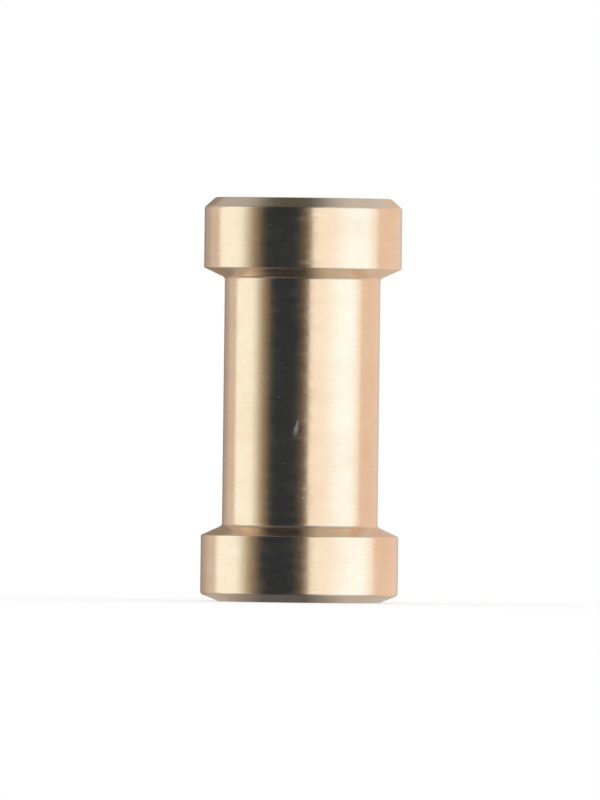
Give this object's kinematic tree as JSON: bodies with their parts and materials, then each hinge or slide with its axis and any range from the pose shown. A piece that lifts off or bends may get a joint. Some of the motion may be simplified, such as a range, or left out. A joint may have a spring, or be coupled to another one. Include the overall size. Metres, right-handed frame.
{
  "type": "tripod thread adapter",
  "caption": "Turned brass stud with a collar at each end and a narrower neck, and a blind camera thread in each end face: 3/8-16 below and 1/4-20 above.",
  "frame": {"origin": "centre of the flat end face with the 3/8-16 hole, which the adapter stands on", "axes": "+Z along the turning axis, from the 3/8-16 end up to the 1/4-20 end. Round about Z, so X and Y are free"},
  "size_m": [0.016, 0.016, 0.0327],
  "materials": {
    "brass": "fine turned, satin"
  },
  "bodies": {
    "root": {"adapter_body": "brass"}
  },
  "joints": []
}
